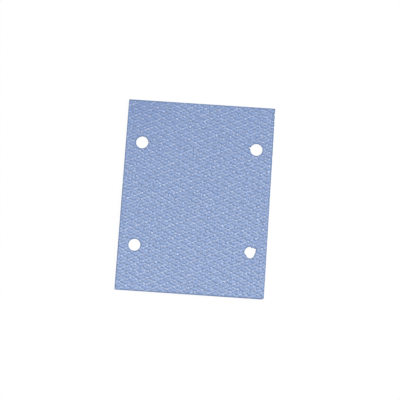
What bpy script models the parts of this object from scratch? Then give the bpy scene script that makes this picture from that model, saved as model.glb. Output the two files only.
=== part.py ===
"""A thermal pad: one sheet of blue heat-conducting silicone with four screw holes, lying flat.

X runs across the sheet, Y along it and Z up through its thickness. The origin is at the middle of
the underside. The sheet is one flat outline with four holes in it, extruded to its thickness. Its
top is the level of the tops of its raised diamond net, whose fine relief isn't cut into this solid.
"""

from collections import namedtuple
from math import cos, pi, radians, sin

import bpy

MM = 0.001

# The screw holes, each with clearance for a 3 mm screw, and one that was punched small and ragged
HOLE_DIAMETER = 3.2 * MM
RAGGED_HOLE_DIAMETER = 3.0 * MM
HOLE_SPACING_ACROSS = 31.1 * MM
HOLE_SPACING_ALONG = 28.0 * MM

# How far the sheet reaches past the middles of its holes, to the sides, the far end and the near end
SIDE_MARGIN = 4.45 * MM
FAR_MARGIN = 11.7 * MM
NEAR_MARGIN = 12.3 * MM

# The sheet
SHEET_WIDTH = HOLE_SPACING_ACROSS + 2 * SIDE_MARGIN
SHEET_LENGTH = NEAR_MARGIN + HOLE_SPACING_ALONG + FAR_MARGIN
SHEET_THICKNESS = 1.0 * MM
CUT_CORNER_RADIUS = 0.2 * MM
WORN_CORNER_RADIUS = 0.6 * MM

# A mark is a place where a hole's edge was cut, torn or pushed out of line. Its angle is counted
# round the hole from +X and its width along the edge. Its reach is positive into the sheet and
# negative where the sheet sticks out, and its lean carries its tip along the edge.
Mark = namedtuple("Mark", "angle width reach lean", defaults=(0.0,))

TEAR = Mark(radians(-3), 0.14 * MM, 0.58 * MM, 0.36 * MM)
SLIT = Mark(radians(167), 0.34 * MM, 0.62 * MM)
RAGGED_MARKS = (
    Mark(radians(34), 0.92 * MM, 0.30 * MM),
    Mark(radians(76), 0.56 * MM, -0.28 * MM),
    Mark(radians(112), 0.80 * MM, 0.06 * MM),
    Mark(radians(218), 1.70 * MM, -0.24 * MM),
    Mark(radians(278), 0.90 * MM, 0.10 * MM),
    Mark(radians(338), 1.85 * MM, -0.19 * MM),
)

# The nicks in the right edge, from the far corner on, where the cutter ran off the diamond net
NICK_FROM_CORNER = 1.70 * MM
NICK_PITCH = 1.78 * MM
NICK_WIDTHS = (0.55 * MM, 0.50 * MM, 0.70 * MM)
NICK_DEPTHS = (0.38 * MM, 0.18 * MM, 0.15 * MM)

# How finely round shapes are divided
HOLE_SIDES = 48
CORNER_STEPS = 4
MARK_STEPS = 8

PAD_BLUE = (0.301, 0.392, 0.617, 1.0)
PAD_ROUGHNESS = 0.5


def clear_scene():
    for old in list(bpy.data.objects):
        bpy.data.objects.remove(old, do_unlink=True)


def swell(along):
    """The share of a mark's reach at a place along it: 1 in its middle, and 0 from its ends at -1 and 1 on."""
    return (1 + cos(pi * min(abs(along), 1))) / 2


def steps_along_a_mark():
    return [2 * step / MARK_STEPS - 1 for step in range(MARK_STEPS + 1)]


def place_in_mark(mark, angle, radius):
    """Where an angle round the hole lies in a mark, whose ends are at -1 and 1."""
    turn = (angle - mark.angle + pi) % (2 * pi) - pi
    return turn * radius / (mark.width / 2)


def hole_outline(centre_x, centre_y, radius, marks=()):
    """The points of a round hole whose edge each mark carries out, in or along."""
    round_the_hole = [2 * pi * side / HOLE_SIDES for side in range(HOLE_SIDES)]
    angles = [
        angle for angle in round_the_hole if all(abs(place_in_mark(mark, angle, radius)) > 1 for mark in marks)
    ]
    for mark in marks:
        angles += [mark.angle + along * mark.width / 2 / radius for along in steps_along_a_mark()]
    points = []
    for angle in sorted(angle % (2 * pi) for angle in angles):
        shares = [swell(place_in_mark(mark, angle, radius)) for mark in marks]
        reach = radius + sum(share * mark.reach for share, mark in zip(shares, marks))
        lean = sum(share * mark.lean for share, mark in zip(shares, marks)) / radius
        points.append((centre_x + reach * cos(angle + lean), centre_y + reach * sin(angle + lean)))
    return points


def hole_outlines():
    """The four holes, on the corners of a rectangle."""
    right = SHEET_WIDTH / 2 - SIDE_MARGIN
    far = SHEET_LENGTH / 2 - FAR_MARGIN
    near = NEAR_MARGIN - SHEET_LENGTH / 2
    return [
        hole_outline(-right, far, HOLE_DIAMETER / 2, [TEAR]),
        hole_outline(right, far, HOLE_DIAMETER / 2, [SLIT]),
        hole_outline(-right, near, HOLE_DIAMETER / 2),
        hole_outline(right, near, RAGGED_HOLE_DIAMETER / 2, RAGGED_MARKS),
    ]


def corner_points(side_x, side_y, radius, first_angle):
    """A quarter circle at one corner of the sheet, anticlockwise from first_angle."""
    centre_x = side_x * (SHEET_WIDTH / 2 - radius)
    centre_y = side_y * (SHEET_LENGTH / 2 - radius)
    turns = [first_angle + pi / 2 * step / CORNER_STEPS for step in range(CORNER_STEPS + 1)]
    return [(centre_x + radius * cos(turn), centre_y + radius * sin(turn)) for turn in turns]


def nick_points():
    """The nicks in the right edge, listed upwards as the outline runs."""
    points = []
    for index, (width, depth) in enumerate(zip(NICK_WIDTHS, NICK_DEPTHS)):
        middle = SHEET_LENGTH / 2 - NICK_FROM_CORNER - index * NICK_PITCH
        for along in steps_along_a_mark():
            points.append((SHEET_WIDTH / 2 - swell(along) * depth, middle + along * width / 2))
    return sorted(points, key=lambda point: point[1])


def sheet_outline():
    """The cut edge, anticlockwise from the near right corner, which is worn round."""
    return (
        corner_points(1, -1, WORN_CORNER_RADIUS, -pi / 2)
        + nick_points()
        + corner_points(1, 1, CUT_CORNER_RADIUS, 0)
        + corner_points(-1, 1, CUT_CORNER_RADIUS, pi / 2)
        + corner_points(-1, -1, CUT_CORNER_RADIUS, pi)
    )


def silicone():
    material = bpy.data.materials.new("blue_silicone")
    material.use_nodes = True
    shader = material.node_tree.nodes["Principled BSDF"]
    shader.inputs["Base Color"].default_value = PAD_BLUE
    shader.inputs["Roughness"].default_value = PAD_ROUGHNESS
    shader.inputs["Metallic"].default_value = 0.0
    return material


def extruded_sheet(name, outlines):
    """One flat curve, whose first outline is the edge and whose others are holes, at its thickness."""
    curve = bpy.data.curves.new(name, "CURVE")
    curve.dimensions = "2D"
    curve.fill_mode = "BOTH"
    curve.extrude = SHEET_THICKNESS / 2
    for outline in outlines:
        spline = curve.splines.new("POLY")
        spline.points.add(len(outline) - 1)
        for point, (x, y) in zip(spline.points, outline):
            point.co = (x, y, 0, 1)
        spline.use_cyclic_u = True
    sheet = bpy.data.objects.new(name, curve)
    sheet.location.z = SHEET_THICKNESS / 2
    return sheet


def main():
    clear_scene()
    collection = bpy.data.collections.new("thermal_pad_sheet")
    bpy.context.scene.collection.children.link(collection)
    pad = extruded_sheet("thermal_pad", [sheet_outline()] + hole_outlines())
    pad.data.materials.append(silicone())
    collection.objects.link(pad)


main()
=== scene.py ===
# %% [markdown]
# A thermal pad is a soft sheet that carries heat from a circuit module into its heatsink. This one is
# blue silicone filled with ceramic powder, embossed with a net of raised diamonds and cut with four
# screw holes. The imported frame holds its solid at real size. This lesson dresses that solid: it makes
# the net as real relief, gives the cut edges their worn shape and the silicone its sheen.

# %% Load the frame
from math import ceil, cos, pi, radians, sin

import bmesh
import bpy
import numpy as np
from mathutils import Matrix, Vector, geometry, noise


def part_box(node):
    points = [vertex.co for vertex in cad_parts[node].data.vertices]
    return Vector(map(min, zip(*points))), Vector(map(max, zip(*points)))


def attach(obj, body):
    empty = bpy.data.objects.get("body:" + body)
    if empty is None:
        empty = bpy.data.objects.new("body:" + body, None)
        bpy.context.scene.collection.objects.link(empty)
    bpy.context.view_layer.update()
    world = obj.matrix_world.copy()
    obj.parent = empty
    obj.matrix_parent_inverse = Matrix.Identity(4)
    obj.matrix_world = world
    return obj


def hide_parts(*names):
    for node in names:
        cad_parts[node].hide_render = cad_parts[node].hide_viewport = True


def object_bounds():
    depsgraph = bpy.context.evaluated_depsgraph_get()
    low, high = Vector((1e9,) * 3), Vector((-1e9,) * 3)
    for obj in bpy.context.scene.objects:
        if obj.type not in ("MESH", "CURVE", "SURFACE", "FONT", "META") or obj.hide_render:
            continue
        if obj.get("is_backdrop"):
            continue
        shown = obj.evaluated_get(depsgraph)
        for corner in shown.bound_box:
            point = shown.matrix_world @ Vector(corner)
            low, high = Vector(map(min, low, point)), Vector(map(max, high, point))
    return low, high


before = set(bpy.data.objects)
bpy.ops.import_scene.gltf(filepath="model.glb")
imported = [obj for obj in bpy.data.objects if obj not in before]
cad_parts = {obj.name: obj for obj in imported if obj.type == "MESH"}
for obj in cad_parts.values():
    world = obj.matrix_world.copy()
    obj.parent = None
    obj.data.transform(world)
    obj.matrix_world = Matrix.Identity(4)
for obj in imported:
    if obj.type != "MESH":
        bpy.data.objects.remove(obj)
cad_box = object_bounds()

MM = 0.001
pad_low, pad_high = (np.array(corner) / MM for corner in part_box("thermal_pad"))
top_level = pad_high[2]
print("the pad's solid in mm:", (pad_high - pad_low).round(3))

# %% [markdown]
# The camera stands almost straight above the sheet, a little to its near side, so the far edge looks a
# touch shorter than the near one. It could be placed by eye. Here it is given as a photographer would
# say it: what it aims at, from how far, and how it is tilted, swung round and rolled. A long lens keeps
# the edges as close to parallel as they should be.

# %% Place the camera
AIM = Vector((1.205, -0.450, 1.0)) * MM
CAMERA_DISTANCE = 299.75 * MM
CAMERA_TILT = radians(7.46)
CAMERA_SWING = radians(7.06)
CAMERA_ROLL = radians(-3.18)

camera = bpy.data.objects.new("camera", bpy.data.cameras.new("camera"))
camera.data.lens = 100
camera.data.sensor_width = 36
camera.data.clip_start = 0.01
turned = (
    Matrix.Rotation(CAMERA_SWING, 4, "Z")
    @ Matrix.Rotation(CAMERA_TILT, 4, "X")
    @ Matrix.Rotation(CAMERA_ROLL, 4, "Z")
)
camera.matrix_world = Matrix.Translation(AIM) @ turned @ Matrix.Translation((0, 0, CAMERA_DISTANCE))
bpy.context.scene.collection.objects.link(camera)
bpy.context.scene.camera = camera
bpy.context.scene.view_settings.view_transform = "Standard"
print("the camera is at", (camera.matrix_world.translation / MM).to_tuple(1), "mm")

# %% [markdown]
# The pad was shot for a catalogue, on a table so bright that it casts no shadow. A white table that
# glows does the same, and it also shows pure white through the holes. Its glow stays just at white: a
# brighter one would eat into the pad's edges. Above it the light is even, apart from one soft lamp beyond
# the far right corner, which gives each raised line a light flank and a dark one, and a small card at the
# near left corner that lifts that end of the sheet a little.

# %% Light the table
WORLD_LIGHT = 0.386
TABLE_GLOW = 0.965
TABLE_WHITE = 0.04
TABLE_HALF = 1.5
TABLE_DROP = 0.00001

LAMP_BEARING = radians(30)
LAMP_RISE = radians(36)
LAMP_DISTANCE = 2.2
LAMP_POWER = 45.2
LAMP_SIZE = 0.6
CARD_PLACE = Vector((-0.10, -0.13, 0.11))
CARD_POWER = 0.04
CARD_SIZE = 0.10

world = bpy.data.worlds.new("studio")
world.use_nodes = True
world.node_tree.nodes["Background"].inputs["Color"].default_value = (1.0, 1.0, 1.0, 1.0)
world.node_tree.nodes["Background"].inputs["Strength"].default_value = WORLD_LIGHT
bpy.context.scene.world = world


def hang_lamp(name, place, power, size):
    lamp = bpy.data.objects.new(name, bpy.data.lights.new(name, "AREA"))
    lamp.data.energy = power
    lamp.data.shape = "DISK"
    lamp.data.size = size
    lamp.location = place
    lamp.rotation_euler = (-place).to_track_quat("-Z", "Y").to_euler()
    bpy.context.scene.collection.objects.link(lamp)


toward_lamp = Vector((
    cos(LAMP_BEARING) * cos(LAMP_RISE),
    sin(LAMP_BEARING) * cos(LAMP_RISE),
    sin(LAMP_RISE),
))
hang_lamp("far_lamp", toward_lamp * LAMP_DISTANCE, LAMP_POWER, LAMP_SIZE)
hang_lamp("near_card", CARD_PLACE, CARD_POWER, CARD_SIZE)

floor_mesh = bpy.data.meshes.new("floor")
floor_shape = bmesh.new()
bmesh.ops.create_grid(floor_shape, x_segments=1, y_segments=1, size=TABLE_HALF)
floor_shape.to_mesh(floor_mesh)
floor_shape.free()
floor = bpy.data.objects.new("floor", floor_mesh)
floor.location.z = -TABLE_DROP
floor_paint = bpy.data.materials.new("white_table")
floor_paint.use_nodes = True
paint = floor_paint.node_tree.nodes["Principled BSDF"]
paint.inputs["Base Color"].default_value = (TABLE_WHITE, TABLE_WHITE, TABLE_WHITE, 1)
paint.inputs["Roughness"].default_value = 0.9
paint.inputs["Specular IOR Level"].default_value = 0.0
paint.inputs["Emission Color"].default_value = (1, 1, 1, 1)
paint.inputs["Emission Strength"].default_value = TABLE_GLOW
floor_mesh.materials.append(floor_paint)
bpy.context.scene.collection.objects.link(floor)
floor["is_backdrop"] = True
print("the lamp hangs at", (toward_lamp * LAMP_DISTANCE).to_tuple(2), "m")

# %% [markdown]
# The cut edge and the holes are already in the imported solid, so their outlines are read from it and
# not drawn again. They are the edges where a face that looks up meets a wall. Walking along them gives
# one loop for the sheet's edge and one for each hole. The sheet's loop is turned anticlockwise and the
# holes' clockwise, so that the silicone is always on the left.

# %% Read the outlines of the solid
EDGE_STEP = 0.21
LOOKS_UP = 0.7
SAME_PLACE = 1e-7


def outline_loops(solid):
    shape = bmesh.new()
    shape.from_mesh(solid.data)
    bmesh.ops.remove_doubles(shape, verts=shape.verts, dist=SAME_PLACE)
    next_to = {}
    for edge in shape.edges:
        upward = [face.normal.z > LOOKS_UP for face in edge.link_faces]
        if sum(upward) == 1:
            first, second = edge.verts
            next_to.setdefault(first, []).append(second)
            next_to.setdefault(second, []).append(first)
    loops = []
    while next_to:
        start = next(iter(next_to))
        loop = [start]
        here = next_to.pop(start)[0]
        came_from = start
        while here != start:
            loop.append(here)
            onward = [vert for vert in next_to.pop(here) if vert != came_from]
            came_from = here
            here = onward[0]
        loops.append(np.array([vert.co[:2] for vert in loop]) / MM)
    shape.free()
    return loops


def signed_area(loop):
    after = np.roll(loop, -1, axis=0)
    return np.sum(loop[:, 0] * after[:, 1] - loop[:, 1] * after[:, 0]) / 2


def divided(loop):
    """The same loop with more points, so that none is further than a step from the next."""
    points = []
    for start, end in zip(loop, np.roll(loop, -1, axis=0)):
        steps = max(1, ceil(np.hypot(*(end - start)) / EDGE_STEP))
        points += [start + (end - start) * step / steps for step in range(steps)]
    return np.array(points)


def turned_to(loop, way):
    """The loop walked anticlockwise for a way of 1, and clockwise for one of -1."""
    return loop if signed_area(loop) * way > 0 else loop[::-1]


loops = outline_loops(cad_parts["thermal_pad"])
loops.sort(key=lambda loop: -abs(signed_area(loop)))
loops = [turned_to(loops[0], 1)] + [turned_to(hole, -1) for hole in loops[1:]]
loops = [divided(loop) for loop in loops]
print("outlines:", len(loops), "points:", [len(loop) for loop in loops])

# %% [markdown]
# A die never leaves soft silicone quite at the drawn line. The two far holes have pulled open by some
# hundredths of a millimetre, and the right edge is nibbled where the blade dragged over the net. Each
# outline is moved into the silicone by that little, so it never leaves the solid.

# %% Pull the outlines back
FAR_HOLES_OPEN = 0.05
NIBBLED_STRIP = 0.7
NIBBLE_DEPTH = 0.10
NIBBLE_SIZE = 0.45


def smooth_noise(points, size, seed):
    """A soft random value from about -1 to 1 at each point, whose patches are this many mm across."""
    return np.array([noise.noise((x / size, y / size, seed)) for x, y in points])


def into_silicone(loop):
    """At each point of a loop, the direction away from the cut, one mm long."""
    run = np.roll(loop, -1, axis=0) - np.roll(loop, 1, axis=0)
    return np.stack([-run[:, 1], run[:, 0]], 1) / np.hypot(run[:, 0], run[:, 1])[:, None]


def pulled_back(loop):
    if signed_area(loop) > 0:
        at_right = loop[:, 0] > pad_high[0] - NIBBLED_STRIP
        depth = NIBBLE_DEPTH * smooth_noise(loop, NIBBLE_SIZE, seed=15.0).clip(0) * at_right
    else:
        is_far = loop[:, 1].mean() > 0
        depth = np.full(len(loop), FAR_HOLES_OPEN if is_far else 0.0)
    return loop + into_silicone(loop) * depth[:, None]


loops = [pulled_back(loop) for loop in loops]
print("hole widths in mm:", [round(float(np.ptp(loop[:, 0])), 2) for loop in loops[1:]])

# %% [markdown]
# The emboss is a net of two sets of raised lines that cross at flat angles, so that they frame diamonds
# about twice as wide as high. The roller that pressed it stood a degree and a half out of square. Every
# place on the sheet gets two net coordinates, one across each set of lines. Both are whole numbers at
# a crossing, and a line is where one of them is whole.

# %% Lay out the diamond net
DIAMOND_WIDTH = 3.72
DIAMOND_HEIGHT = 1.752
NET_TURN = radians(-1.5)
CROSSING = np.array([0.100, -1.636])

across = np.array([cos(NET_TURN), sin(NET_TURN)])
along = np.array([-sin(NET_TURN), cos(NET_TURN)])
rise = (across * DIAMOND_WIDTH + along * DIAMOND_HEIGHT) / 2
fall = (across * DIAMOND_WIDTH - along * DIAMOND_HEIGHT) / 2
to_net = np.linalg.inv(np.array([rise, fall]).T)
line_gap = abs(np.cross(rise, fall)) / np.hypot(*rise)
print("lines are", round(float(line_gap), 3), "mm apart")


def net_place(points):
    """Net coordinates: the first counts the falling lines, the second the rising ones."""
    return (points - CROSSING) @ to_net.T


def sheet_place(net):
    """The way back, from net coordinates to a place on the sheet."""
    return CROSSING + net @ np.array([rise, fall])


# %% [markdown]
# The relief could be a bump in the material, but then it would vanish from the silhouette and from a
# plain view of the mesh. So it is modelled: the points of the mesh lie on the net's own coordinates, with
# close rows where a line's flank is steep and wide ones on the pillow between the lines. The first step
# is to tell what lies inside the sheet and how far from its cut edge.

# %% Measure places against the outlines
def segments():
    starts = np.concatenate(loops)
    ends = np.concatenate([np.roll(loop, -1, axis=0) for loop in loops])
    return starts, ends


def in_chunks(measure, points, size=2000):
    return np.concatenate([measure(points[first : first + size]) for first in range(0, len(points), size)])


def distance_to_cut(points):
    """How far each point is from the nearest cut edge, in mm."""
    starts, ends = segments()
    run = ends - starts

    def measure(some):
        offset = some[:, None, :] - starts[None]
        share = np.clip((offset * run).sum(-1) / (run * run).sum(-1), 0, 1)
        return np.sqrt(((offset - share[..., None] * run) ** 2).sum(-1).min(1))

    return in_chunks(measure, points)


def is_inside(points):
    """True on silicone and False beyond the edge and in the holes: a ray to the right counts the cuts."""
    starts, ends = segments()

    def measure(some):
        y = some[:, 1][:, None]
        spans = (starts[:, 1] > y) != (ends[:, 1] > y)
        # A level piece of the cut is never spanned, so its height may be anything but 0.
        height = np.where(ends[:, 1] == starts[:, 1], 1, ends[:, 1] - starts[:, 1])
        cut = starts[:, 0] + (y - starts[:, 1]) / height * (ends[:, 0] - starts[:, 0])
        return (spans & (cut > some[:, 0][:, None])).sum(1) % 2 == 1

    return in_chunks(measure, points)


# %% [markdown]
# Each face gets its points from three places: the cut edges themselves, a few rows just inside them for
# the rolled rim, and the net further in. The underside is nearly flat, so it needs far fewer. A
# triangulation that keeps the cut edges then joins them all, and what it spans across the holes and
# outside the sheet is dropped.

# %% Spread the points of each face
TOP_STEPS = (0, 0.05, 0.105, 0.18, 0.29, 0.43, 0.57, 0.71, 0.82, 0.895, 0.95)
UNDER_STEPS = (0, 0.14, 0.5, 0.86)
TOP_RIM_ROWS = (0.035, 0.09, 0.17)
UNDER_RIM_ROWS = (0.17,)
CLEAR_OF_RIM = 0.24
CLEAR_SHARE = 0.85
KEEP_ALL = 0
WELD_BELOW = 1e-6


def net_points(steps):
    """The points of the net that lie on the sheet, at these shares of each diamond's sides."""
    corners = np.array([[x, y] for x in (pad_low[0], pad_high[0]) for y in (pad_low[1], pad_high[1])])
    lowest = np.floor(net_place(corners).min(0)).astype(int)
    highest = np.ceil(net_place(corners).max(0)).astype(int)
    first, second = (
        (np.arange(lowest[axis], highest[axis])[:, None] + np.array(steps)).ravel() for axis in (0, 1)
    )
    net = np.array(np.meshgrid(first, second, indexing="ij")).reshape(2, -1).T
    points = sheet_place(net)
    points = points[(points > pad_low[:2]).all(1) & (points < pad_high[:2]).all(1)]
    points = points[is_inside(points)]
    return points[distance_to_cut(points) > CLEAR_OF_RIM]


def rim_points(rim_rows):
    """Rows of points just inside the cut edges, where they don't run into another edge."""
    kept = []
    for points, row in [(loop + into_silicone(loop) * row, row) for loop in loops for row in rim_rows]:
        clear = (distance_to_cut(points) > CLEAR_SHARE * row) & is_inside(points)
        kept.append(points[clear])
    return np.concatenate(kept)


def face_triangles(steps, rim_rows):
    """The points of one face, cut edges first, and the triangles between them."""
    cut = np.concatenate(loops)
    points = np.concatenate([cut, rim_points(rim_rows), net_points(steps)])
    edges = []
    first = 0
    for loop in loops:
        count = len(loop)
        edges += [(first + index, first + (index + 1) % count) for index in range(count)]
        first += count
    corners = [Vector(point) for point in points]
    made = geometry.delaunay_2d_cdt(corners, edges, [], KEEP_ALL, WELD_BELOW, True)
    places, triangles, from_points = made[0], np.array(made[2]), made[3]
    names = np.array([origin[0] if origin else -1 for origin in from_points])
    assert (names >= 0).all(), "two outlines cross"
    triangles = names[triangles]
    middles = points[triangles].mean(1)
    on_cut = (triangles < len(cut)).all(1)
    keep = np.ones(len(triangles), bool)
    keep[on_cut] = is_inside(middles[on_cut])
    return points, triangles[keep]


top_points, top_triangles = face_triangles(TOP_STEPS, TOP_RIM_ROWS)
under_points, under_triangles = face_triangles(UNDER_STEPS, UNDER_RIM_ROWS)
print("top:", len(top_points), "points", len(top_triangles), "triangles; underside:", len(under_triangles))

# %% [markdown]
# Now the height of every point. The relief has four forms: the raised lines, a knot where two of them
# cross, a flat-topped pillow in the middle of each diamond, and a dimple at each of the pillow's sharp
# ends. Each form is a bell or a lens of its distance from where it is highest, so it blends into the
# valleys without a crease. Soft silicone never takes a mould perfectly, so the net wanders a little and
# its lines and knots swell and fade.

# %% Shape the relief
LINE_HALF_WIDTH = 0.28
RISING_EXTRA = 0.10
KNOT_RADIUS = 0.26
KNOT_HEIGHT = 0.80
PILLOW_HALF_WIDTH = 1.12
PILLOW_HALF_HEIGHT = 0.40
PILLOW_FLATNESS = 2.0
PILLOW_HEIGHT = 1.6
PILLOW_UNEVEN = 0.25
PILLOW_PATCH = 0.9
DIMPLE_PLACE = 0.79
DIMPLE_HALF_WIDTH = 0.21
DIMPLE_HALF_HEIGHT = 0.13
DIMPLE_DEPTH = 0.10
WANDER = 0.15
WANDER_PATCH = 1.9
FINE_WANDER = 0.8
FINE_WANDER_PATCH = 0.9
BOW = 0.07
LINE_UNEVEN = 0.80
LINE_PATCH = 0.55
KNOT_UNEVEN = 0.50
KNOT_PATCH = 0.8
GRAIN = 0.11
GRAIN_PATCH = 0.45


def step_between(low, high, value):
    """A soft step: 0 below the low value and 1 above the high one."""
    share = np.clip((value - low) / (high - low), 0, 1)
    return share * share * (3 - 2 * share)


def wandered(points):
    """Where each point lies once the net has drifted from side to side and bowed a little."""
    bow = BOW * (np.cos(pi * points[:, 1] / (pad_high[1] - pad_low[1])) - 2 / pi)
    drift = []
    for seed in (3.1, 9.7):
        fine = FINE_WANDER * smooth_noise(points, FINE_WANDER_PATCH, seed + 4.0)
        drift.append(smooth_noise(points, WANDER_PATCH, seed) + fine)
    return points + WANDER * np.stack(drift, 1) + np.outer(bow, [0, 1])


def bell(distance, half_width):
    return np.exp(-((distance / half_width) ** 2))


def knot_shape(net):
    to_crossing = sheet_place(net) - sheet_place(np.round(net))
    return bell(np.hypot(*to_crossing.T), KNOT_RADIUS)


def pillow_shape(net):
    """How high the pillows stand, as a share of a whole one, with the dimples at their sharp ends."""
    first, second = (net % 1 - 0.5).T
    aside = (first + second) * DIAMOND_WIDTH / 2
    ahead = (first - second) * DIAMOND_HEIGHT / 2
    out = (aside / PILLOW_HALF_WIDTH) ** 2 + (ahead / PILLOW_HALF_HEIGHT) ** 2
    dimple = bell(np.abs(aside) - DIMPLE_PLACE, DIMPLE_HALF_WIDTH) * bell(ahead, DIMPLE_HALF_HEIGHT)
    return np.exp(-(out**PILLOW_FLATNESS)) - DIMPLE_DEPTH * dimple


def relief(points, net):
    """The height of the net, in line heights: about 0 in a valley, 1 on a line and 2 on a knot."""
    falling, rising = bell(np.abs(net - np.round(net)) * line_gap, LINE_HALF_WIDTH).T
    line = np.maximum(falling * (1 - RISING_EXTRA), rising * (1 + RISING_EXTRA))
    line *= 1 + LINE_UNEVEN * smooth_noise(points, LINE_PATCH, seed=21.0)
    knot = KNOT_HEIGHT * knot_shape(net)
    knot *= 1 + KNOT_UNEVEN * smooth_noise(points, KNOT_PATCH, seed=33.0)
    pillow = PILLOW_HEIGHT * pillow_shape(net)
    pillow *= 1 + PILLOW_UNEVEN * smooth_noise(points, PILLOW_PATCH, seed=47.0)
    return line + knot + pillow + GRAIN * smooth_noise(points, GRAIN_PATCH, seed=71.0)


top_net = net_place(wandered(top_points))
top_relief = relief(top_points, top_net)
top_cut = distance_to_cut(top_points)
print("relief from", top_relief.min().round(2), "to", top_relief.max().round(2))

# %% [markdown]
# The tallest knots reach the sheet's full thickness and everything else lies below them, so the dressed
# pad never outgrows its solid. Three things change the net's height over the sheet. The roller pressed a
# little less at the far end, and least in the far left corner, so the net is fainter there. Close to a
# cut the die has squeezed it flat. And right at the cut it pulled the surface down, so the edge is rolled
# over. The underside lay on a smooth liner and keeps only a trace of the net, which is a guess, as the
# photograph doesn't show it.

# %% Raise the top and the underside
LINE_HEIGHT = 0.152
# Two heights of the relief: the one that just reaches the solid's top, and the one left at a cut.
HIGHEST = 2.3
AT_CUT = 1.25
ROLL_DEPTH = 0.05
ROLL_REACH = 0.30
BARE_RIM = 0.05
PRESSED_REACH = 0.34
UNDER_RELIEF = 0.035
FAR_END_FAINTER = 0.20
CORNER_FAINTER = 0.35
CORNER_REACH = 9.0


def rolled_by_cut(from_cut):
    """How far the surface is rolled over: wholly at the cut, and less and less away from it."""
    return (1 - np.clip(from_cut / ROLL_REACH, 0, 1)) ** 2


pressed = step_between(BARE_RIM, PRESSED_REACH, top_cut)
strength = 1 - FAR_END_FAINTER * top_points[:, 1] / pad_high[1]
to_far_left = np.hypot(*(top_points - [pad_low[0], pad_high[1]]).T)
strength *= 1 - CORNER_FAINTER * bell(to_far_left, CORNER_REACH)
below_top = (HIGHEST - top_relief * strength).clip(0) * pressed + (HIGHEST - AT_CUT) * (1 - pressed)
top_heights = top_level - LINE_HEIGHT * below_top - ROLL_DEPTH * rolled_by_cut(top_cut)

under_net = net_place(wandered(under_points))
under_relief = relief(under_points, under_net)
under_cut = distance_to_cut(under_points)
under_heights = UNDER_RELIEF * (1 - under_relief).clip(0) + ROLL_DEPTH * rolled_by_cut(under_cut)
print("top from", top_heights.min().round(3), "to", top_heights.max().round(3), "mm")

# %% [markdown]
# The wall between the two faces is what the die sheared. It isn't a plain band: a die leaves a slightly
# hollow cut with fine upright drag lines, and a punched hole gets a little wider toward its lower end.
# The wall is made of rows of points between the two cut edges, so that it closes the sheet into one body
# without a seam.

# %% Close the sheet with its cut wall
WALL_SHARES = (0.15, 0.4, 0.65, 0.88)
HOLLOW = 0.02
DRAG = 0.008
DRAG_SIZE = 0.3
HOLE_FLARE = 0.08
CREASE = radians(55)

cut_count = sum(len(loop) for loop in loops)
cut_inward = np.concatenate([into_silicone(loop) for loop in loops])
drag = smooth_noise(top_points[:cut_count], DRAG_SIZE, seed=60.0)
flare = np.concatenate([np.full(len(loop), 0 if signed_area(loop) > 0 else HOLE_FLARE) for loop in loops])
under_points[:cut_count] += cut_inward * flare[:, None]

rows = [np.arange(cut_count)]
wall_points = []
first_wall = len(top_points)
for index, share in enumerate(WALL_SHARES):
    inset = HOLLOW * sin(pi * share) + DRAG * drag + flare * share
    flat = top_points[:cut_count] + cut_inward * inset[:, None]
    level = top_heights[:cut_count] * (1 - share) + under_heights[:cut_count] * share
    wall_points.append(np.column_stack([flat, level]))
    rows.append(np.arange(cut_count) + first_wall + index * cut_count)
first_under = first_wall + len(WALL_SHARES) * cut_count
rows.append(np.arange(cut_count) + first_under)

after = np.concatenate([
    np.roll(np.arange(len(loop)), -1) + sum(len(earlier) for earlier in loops[:index])
    for index, loop in enumerate(loops)
])
wall_quads = []
for upper, lower in zip(rows, rows[1:]):
    wall_quads.append(np.column_stack([upper, lower, lower[after], upper[after]]))
wall_quads = np.concatenate(wall_quads)

places = np.concatenate([
    np.column_stack([top_points, top_heights]),
    *wall_points,
    np.column_stack([under_points, under_heights]),
])
faces = [tuple(face) for face in top_triangles.tolist()]
faces += [tuple(face) for face in wall_quads.tolist()]
faces += [tuple(face) for face in (under_triangles[:, ::-1] + first_under).tolist()]

pad_mesh = bpy.data.meshes.new("embossed_pad")
pad_mesh.from_pydata((places * MM).tolist(), [], faces)
pad_mesh.validate()
pad = bpy.data.objects.new("embossed_pad", pad_mesh)
bpy.context.scene.collection.objects.link(pad)
pad_mesh.shade_smooth()
pad_mesh.set_sharp_from_angle(angle=CREASE)
print("the pad has", sum(len(face.vertices) - 2 for face in pad_mesh.polygons), "triangles")

# %% [markdown]
# The finish depends on where the silicone is: the net's lines are painted pale, partly as their own
# colour and partly as painted sheen, the pillows are a clear blue, and the valleys and the cut edges are
# painted deeper, the valleys partly and the cut edges wholly as painted shade. The pale lines are hardly
# wider than the rows of the mesh, so their colour isn't kept on its points. The points carry their net
# coordinates instead, and the material works out from them, at each spot, how far the next line is. Two
# more values say how near a cut is and how much of the net shows there.

# %% Note the finish on the points
CUT_REACH = 0.38
UNDER_SHOWN = 0.3


def note(name, kind, top, under, wall):
    """Keep a value on every point, given for the top, the underside and one row of the wall."""
    attribute = pad_mesh.attributes.new(name, kind, "POINT")
    on_walls = np.concatenate([wall] * len(WALL_SHARES))
    values = np.concatenate([top, on_walls, under]).astype(np.float32)
    attribute.data.foreach_set("vector" if kind == "FLOAT_VECTOR" else "value", values.ravel())


cut_net = top_net[:cut_count]
note("net", "FLOAT_VECTOR", *(np.pad(net, ((0, 0), (0, 1))) for net in (top_net, under_net, cut_net)))
under_shown = np.full(len(under_points), UNDER_SHOWN)
note("net_shown", "FLOAT", pressed * strength, under_shown, np.zeros(cut_count))
near_cut = [1 - step_between(BARE_RIM, CUT_REACH, from_cut) for from_cut in (top_cut, under_cut)]
note("near_cut", "FLOAT", *near_cut, np.ones(cut_count))
print("noted:", [attribute.name for attribute in pad_mesh.attributes if attribute.name[0] != "."])

# %% [markdown]
# The material repeats the relief's bells and lenses in its nodes. A small function makes each kind of
# node, so that the material reads like the sums that it does.

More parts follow.
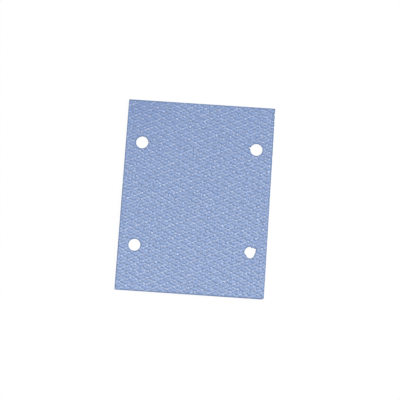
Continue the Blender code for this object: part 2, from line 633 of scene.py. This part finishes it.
# %% Start the silicone
silicone = bpy.data.materials.new("blue_silicone")
silicone.use_nodes = True
nodes = silicone.node_tree.nodes
links = silicone.node_tree.links
shader = nodes["Principled BSDF"]


def node(kind, **settings):
    made = nodes.new(kind)
    for name, value in settings.items():
        setattr(made, name, value)
    return made


def feed(socket, value):
    """Link the value if it is another node's output, or else set it, a colour as well as a number."""
    if hasattr(value, "is_linked"):
        links.new(value, socket)
    elif isinstance(value, tuple):
        socket.default_value = (*value, 1)
    else:
        socket.default_value = value


def calc(operation, *values):
    made = node("ShaderNodeMath", operation=operation)
    for socket, value in zip(made.inputs, values):
        feed(socket, value)
    return made.outputs["Value"]


def mixed(lower, upper, share):
    """The upper colour where the share is 1, and the lower one where it is 0."""
    made = node("ShaderNodeMix", data_type="RGBA")
    for name, value in (("Factor", share), ("A", lower), ("B", upper)):
        sockets = [socket for socket in made.inputs if socket.name == name and socket.enabled]
        feed(sockets[0], value)
    return [socket for socket in made.outputs if socket.enabled][0]


def times(colour, tint):
    made = node("ShaderNodeVectorMath", operation="MULTIPLY")
    for socket, value in zip(made.inputs, (colour, tint)):
        links.new(value, socket)
    return made.outputs["Vector"]


def squared(value):
    return calc("MULTIPLY", value, value)


def bell_of(distance, half_width):
    return calc("EXPONENT", calc("MULTIPLY", squared(calc("DIVIDE", distance, half_width)), -1.0))


def speckle(size, detail=2.0):
    """Noise from about 0 to 1, whose patches are this many mm across."""
    made = node("ShaderNodeTexNoise")
    made.inputs["Scale"].default_value = 1 / (size * MM)
    made.inputs["Detail"].default_value = detail
    links.new(place.outputs["Object"], made.inputs["Vector"])
    return made.outputs["Fac"]


def noted(name, output="Fac"):
    return node("ShaderNodeAttribute", attribute_name=name).outputs[output]


place = node("ShaderNodeTexCoord")

# %% [markdown]
# First the material finds the net again. A pale line is narrower than the raised one that it lies on, as
# only its top is painted pale, partly in the line's own colour and partly as painted sheen. The pale paint
# is strongest on the knots, where it is partly a painted highlight, and halfway between two of them, and
# the rising lines get more of it than the falling ones. Beside each line, on its near side, painted light
# lifts the shade, and the dimples take a part of the pillow's blue away, which paints shade into them.

# %% Find the lines and pillows in the material
PALE_HALF_WIDTH = 0.152
RISING_PALER = 0.09
KNOT_PALER = 0.72
BREAK_BY_KNOT = 0.24
NEAR_LIGHT_HALF_WIDTH = 0.30
NEAR_LIGHT_SHIFT = 0.11
DIMPLE_SHADE = 0.60

split = node("ShaderNodeSeparateXYZ")
links.new(noted("net", "Vector"), split.inputs["Vector"])
counts = [split.outputs["X"], split.outputs["Y"]]


def off_line(count):
    """How far the next line is in mm: the net coordinate folded back at each whole and half number."""
    return calc("MULTIPLY", calc("PINGPONG", count, 0.5), float(line_gap))


falling, rising = (bell_of(off_line(count), PALE_HALF_WIDTH) for count in counts)
knot = calc("MULTIPLY", falling, rising)


def broken(pale, along, strength):
    """A pale line that is weaker beside each knot than on it and halfway to the next one."""
    between = squared(calc("SINE", calc("MULTIPLY", along, 2 * pi)))
    return calc("MULTIPLY", pale, calc("MULTIPLY_ADD", between, -BREAK_BY_KNOT * strength, strength))


# The pale paint on the lines is partly their own colour and partly painted sheen; on the knots it is
# partly a painted highlight.
lines = [broken(falling, counts[1], 1 - RISING_PALER), broken(rising, counts[0], 1 + RISING_PALER)]
line = calc("ADD", calc("MAXIMUM", *lines), calc("MULTIPLY", knot, KNOT_PALER))
# Painted light beside each line, on its near side, lifting the shade there.
shifts = (NEAR_LIGHT_SHIFT / DIAMOND_HEIGHT, -NEAR_LIGHT_SHIFT / DIAMOND_HEIGHT)
beside = [off_line(calc("ADD", count, shift)) for count, shift in zip(counts, shifts)]
near_side_light = bell_of(calc("MINIMUM", *beside), NEAR_LIGHT_HALF_WIDTH)
first, second = (calc("SUBTRACT", calc("FRACT", count), 0.5) for count in counts)
aside = calc("MULTIPLY", calc("ADD", first, second), DIAMOND_WIDTH / 2)
ahead = calc("MULTIPLY", calc("SUBTRACT", first, second), DIAMOND_HEIGHT / 2)
out = calc(
    "ADD",
    squared(calc("DIVIDE", aside, PILLOW_HALF_WIDTH)),
    squared(calc("DIVIDE", ahead, PILLOW_HALF_HEIGHT)),
)
whole_pillow = calc("EXPONENT", calc("MULTIPLY", calc("POWER", out, PILLOW_FLATNESS), -1.0))
dimple = calc(
    "MULTIPLY",
    bell_of(calc("SUBTRACT", calc("ABSOLUTE", aside), DIMPLE_PLACE), DIMPLE_HALF_WIDTH),
    bell_of(ahead, DIMPLE_HALF_HEIGHT),
)
# The dimples show less of the pillow's blue: painted shade in the recesses.
pillow = calc("MAXIMUM", calc("SUBTRACT", whole_pillow, calc("MULTIPLY", dimple, DIMPLE_SHADE)), 0.0)
print("nodes for the net:", len(nodes))

# %% [markdown]
# Now the paint. The silicone is a chalky blue, painted darkest in the valleys, partly as its own colour
# and partly as painted shade in the hollows. Along the near side of each line the valley is painted
# lighter and greyer, as painted light that lifts the shade on that side. The pillows are a lighter blue.
# The lines are painted pale, partly as their own colour and partly as painted sheen, in short broken
# strokes and not all along, and here and there a falling line gets a painted glint, almost white. Near
# the cuts the colour is painted darker, as painted shade. Over all of it lie the filler's dark and light
# grains and a slow drift from a cool to a warm blue. The colours could be laid over each other by one
# picture; mixing them one after another, each by its own share, keeps every finish in a line of its own
# that can be changed alone.

# %% Colour the silicone
# The valley blue is partly the silicone's own colour and partly painted shade in the hollows.
VALLEY_SHADE_BLUE = (0.165, 0.249, 0.487)
# Painted light, lifting the shade beside each line on its near side.
NEAR_SIDE_LIT_BLUE = (0.204, 0.278, 0.474)
PILLOW_BLUE = (0.314, 0.420, 0.678)
# Partly the lines' own pale colour and partly painted sheen.
LINE_AND_SHEEN_BLUE = (0.450, 0.557, 0.806)
# A painted highlight.
GLINT_WHITE = (0.650, 0.712, 0.860)
# Painted shade along the cuts.
CUT_SHADE_BLUE = (0.168, 0.250, 0.452)
STROKE_SIZE = 0.43
STROKE_CONTRAST = 5.2
STROKE_AVERAGE = 0.95
FADE_SIZE = 1.3
FADE_CONTRAST = 0.80
PALEST_STROKE = 2.0
FULL_SIZE = 0.8
FULL_CONTRAST = 0.35
GLINT_SIZE = 0.30
GLINT_FROM = 0.60
GLINT_CONTRAST = 5.0
SPECK_SIZE = 0.27
DARK_SPECK = (0.53, 0.55, 0.61)
LIGHT_SPECK = (1.54, 1.52, 1.44)
TINT_SIZE = 1.1
COOL_TINT = (0.905, 1.00, 1.085)
WARM_TINT = (1.095, 1.00, 0.915)

shown = noted("net_shown")


def patches(grain, contrast, average=1.0):
    """Noise that swings round its average by this contrast, and never falls below nothing."""
    return calc("MAXIMUM", calc("MULTIPLY_ADD", grain, contrast, average - contrast / 2), 0.0)


# Broken strokes of the pale line paint, which is partly painted sheen.
stroke_patches = patches(speckle(STROKE_SIZE), STROKE_CONTRAST, STROKE_AVERAGE)
faded = patches(speckle(FADE_SIZE, detail=0.0), FADE_CONTRAST)
strokes = calc("MINIMUM", calc("MULTIPLY", stroke_patches, faded), PALEST_STROKE)
line_and_sheen_share = calc("MULTIPLY", calc("MULTIPLY", line, strokes), shown)
full = patches(speckle(FULL_SIZE), FULL_CONTRAST)
pillow_share = calc("MULTIPLY", calc("MULTIPLY", pillow, full), shown)
# The valley blue, partly painted shade in the hollows, is painted lighter beside the lines as painted
# light.
valley = mixed(VALLEY_SHADE_BLUE, NEAR_SIDE_LIT_BLUE, calc("MULTIPLY", near_side_light, shown))
with_pillows = mixed(valley, PILLOW_BLUE, pillow_share)
with_lines = mixed(with_pillows, LINE_AND_SHEEN_BLUE, line_and_sheen_share)
# A painted glint, almost white, here and there on the falling lines.
above = calc("SUBTRACT", speckle(GLINT_SIZE, detail=1.0), GLINT_FROM)
glint_strength = calc("MULTIPLY", above, GLINT_CONTRAST)
on_falling = calc("MULTIPLY", falling, shown)
glint = calc("MINIMUM", calc("MULTIPLY", calc("MAXIMUM", glint_strength, 0.0), on_falling), 1.0)
with_glints = mixed(with_lines, GLINT_WHITE, glint)
# Painted shade along the cut edges and on the cut wall.
with_cuts = mixed(with_glints, CUT_SHADE_BLUE, noted("near_cut"))
specked = times(with_cuts, mixed(DARK_SPECK, LIGHT_SPECK, speckle(SPECK_SIZE, detail=1.0)))
tinted = times(specked, mixed(COOL_TINT, WARM_TINT, speckle(TINT_SIZE)))
links.new(tinted, shader.inputs["Base Color"])
shader.inputs["IOR"].default_value = 1.42
shader.inputs["Roughness"].default_value = 0.45
pad_mesh.materials.append(silicone)
print("nodes with the paint:", len(nodes))

# %% [markdown]
# The filler's grains also stand proud of the skin and break up its soft sheen. They are a few hundredths
# of a millimetre high and too fine for the wide rows of the mesh, which is just what a bump in the
# material is for. Everything larger, down to the dimples, is in the mesh.

# %% Roughen the silicone
BUMP_SIZE = 0.26
BUMP_HEIGHT = 0.055

bump = node("ShaderNodeBump")
bump.inputs["Strength"].default_value = 1.0
bump.inputs["Distance"].default_value = BUMP_HEIGHT * MM
links.new(speckle(BUMP_SIZE, detail=1.0), bump.inputs["Height"])
links.new(bump.outputs["Normal"], shader.inputs["Normal"])
print("nodes in the silicone:", len(nodes))

# %% [markdown]
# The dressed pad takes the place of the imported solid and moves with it. The last lines write down both
# boxes, so that the sizes can be compared, and hand the scene over.

# %% Hand the pad to the frame
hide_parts("thermal_pad")
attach(pad, "root")

boxes = {"cad": cad_box, "scene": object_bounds()}
boxes = {name: [[float(value) for value in corner] for corner in box] for name, box in boxes.items()}
print("boxes in m:", boxes)
